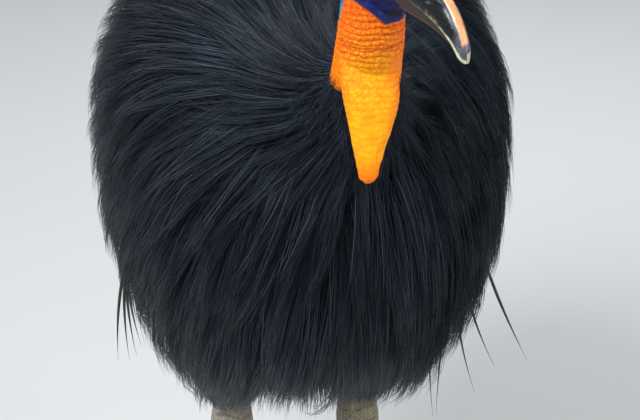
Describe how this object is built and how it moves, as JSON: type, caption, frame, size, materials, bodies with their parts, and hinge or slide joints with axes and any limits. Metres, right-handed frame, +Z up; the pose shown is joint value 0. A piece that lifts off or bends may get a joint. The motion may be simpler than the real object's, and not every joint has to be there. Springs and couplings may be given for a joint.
{
  "type": "cassowary, standing",
  "caption": "Still, life-size standing cassowary with shaggy plumage, casque, bare neck with one wattle, and bare scaled legs.",
  "frame": {"origin": "on the floor, under the middle of the bird's box in plan", "axes": "+Z up, the bird faces -Y, its left side is at +X"},
  "size_m": [0.6002, 1.0809, 1.3143],
  "materials": {
    "plumage": "loose hair-like black feathers with a blue sheen",
    "neck_skin": "wrinkled orange skin, blue behind and at the throat",
    "wattle_skin": "wrinkled yellow-orange skin",
    "head_skin": "matt blue skin",
    "casque_horn": "brown keratin",
    "bill_horn": "smooth dark keratin with a pale ridge",
    "eye": "wet brown eye",
    "quill": "bare black feather shafts",
    "leg_scales": "grey-olive scales and plates",
    "claw_horn": "dark keratin"
  },
  "bodies": {
    "root": {"torso": "plumage", "tail_plumage": "plumage", "thigh_left": "plumage", "thigh_right": "plumage", "neck": "neck_skin", "wattle": "wattle_skin", "head": "head_skin", "casque": "casque_horn", "upper_bill": "bill_horn", "lower_bill": "bill_horn", "eye_left": "eye", "eye_right": "eye", "wing_left": "quill", "wing_right": "quill", "shank_left": "leg_scales", "shank_right": "leg_scales", "foot_left": "leg_scales", "foot_right": "leg_scales", "claw_inner_left": "claw_horn", "claw_middle_left": "claw_horn", "claw_outer_left": "claw_horn", "claw_inner_right": "claw_horn", "claw_middle_right": "claw_horn", "claw_outer_right": "claw_horn"}
  },
  "joints": []
}
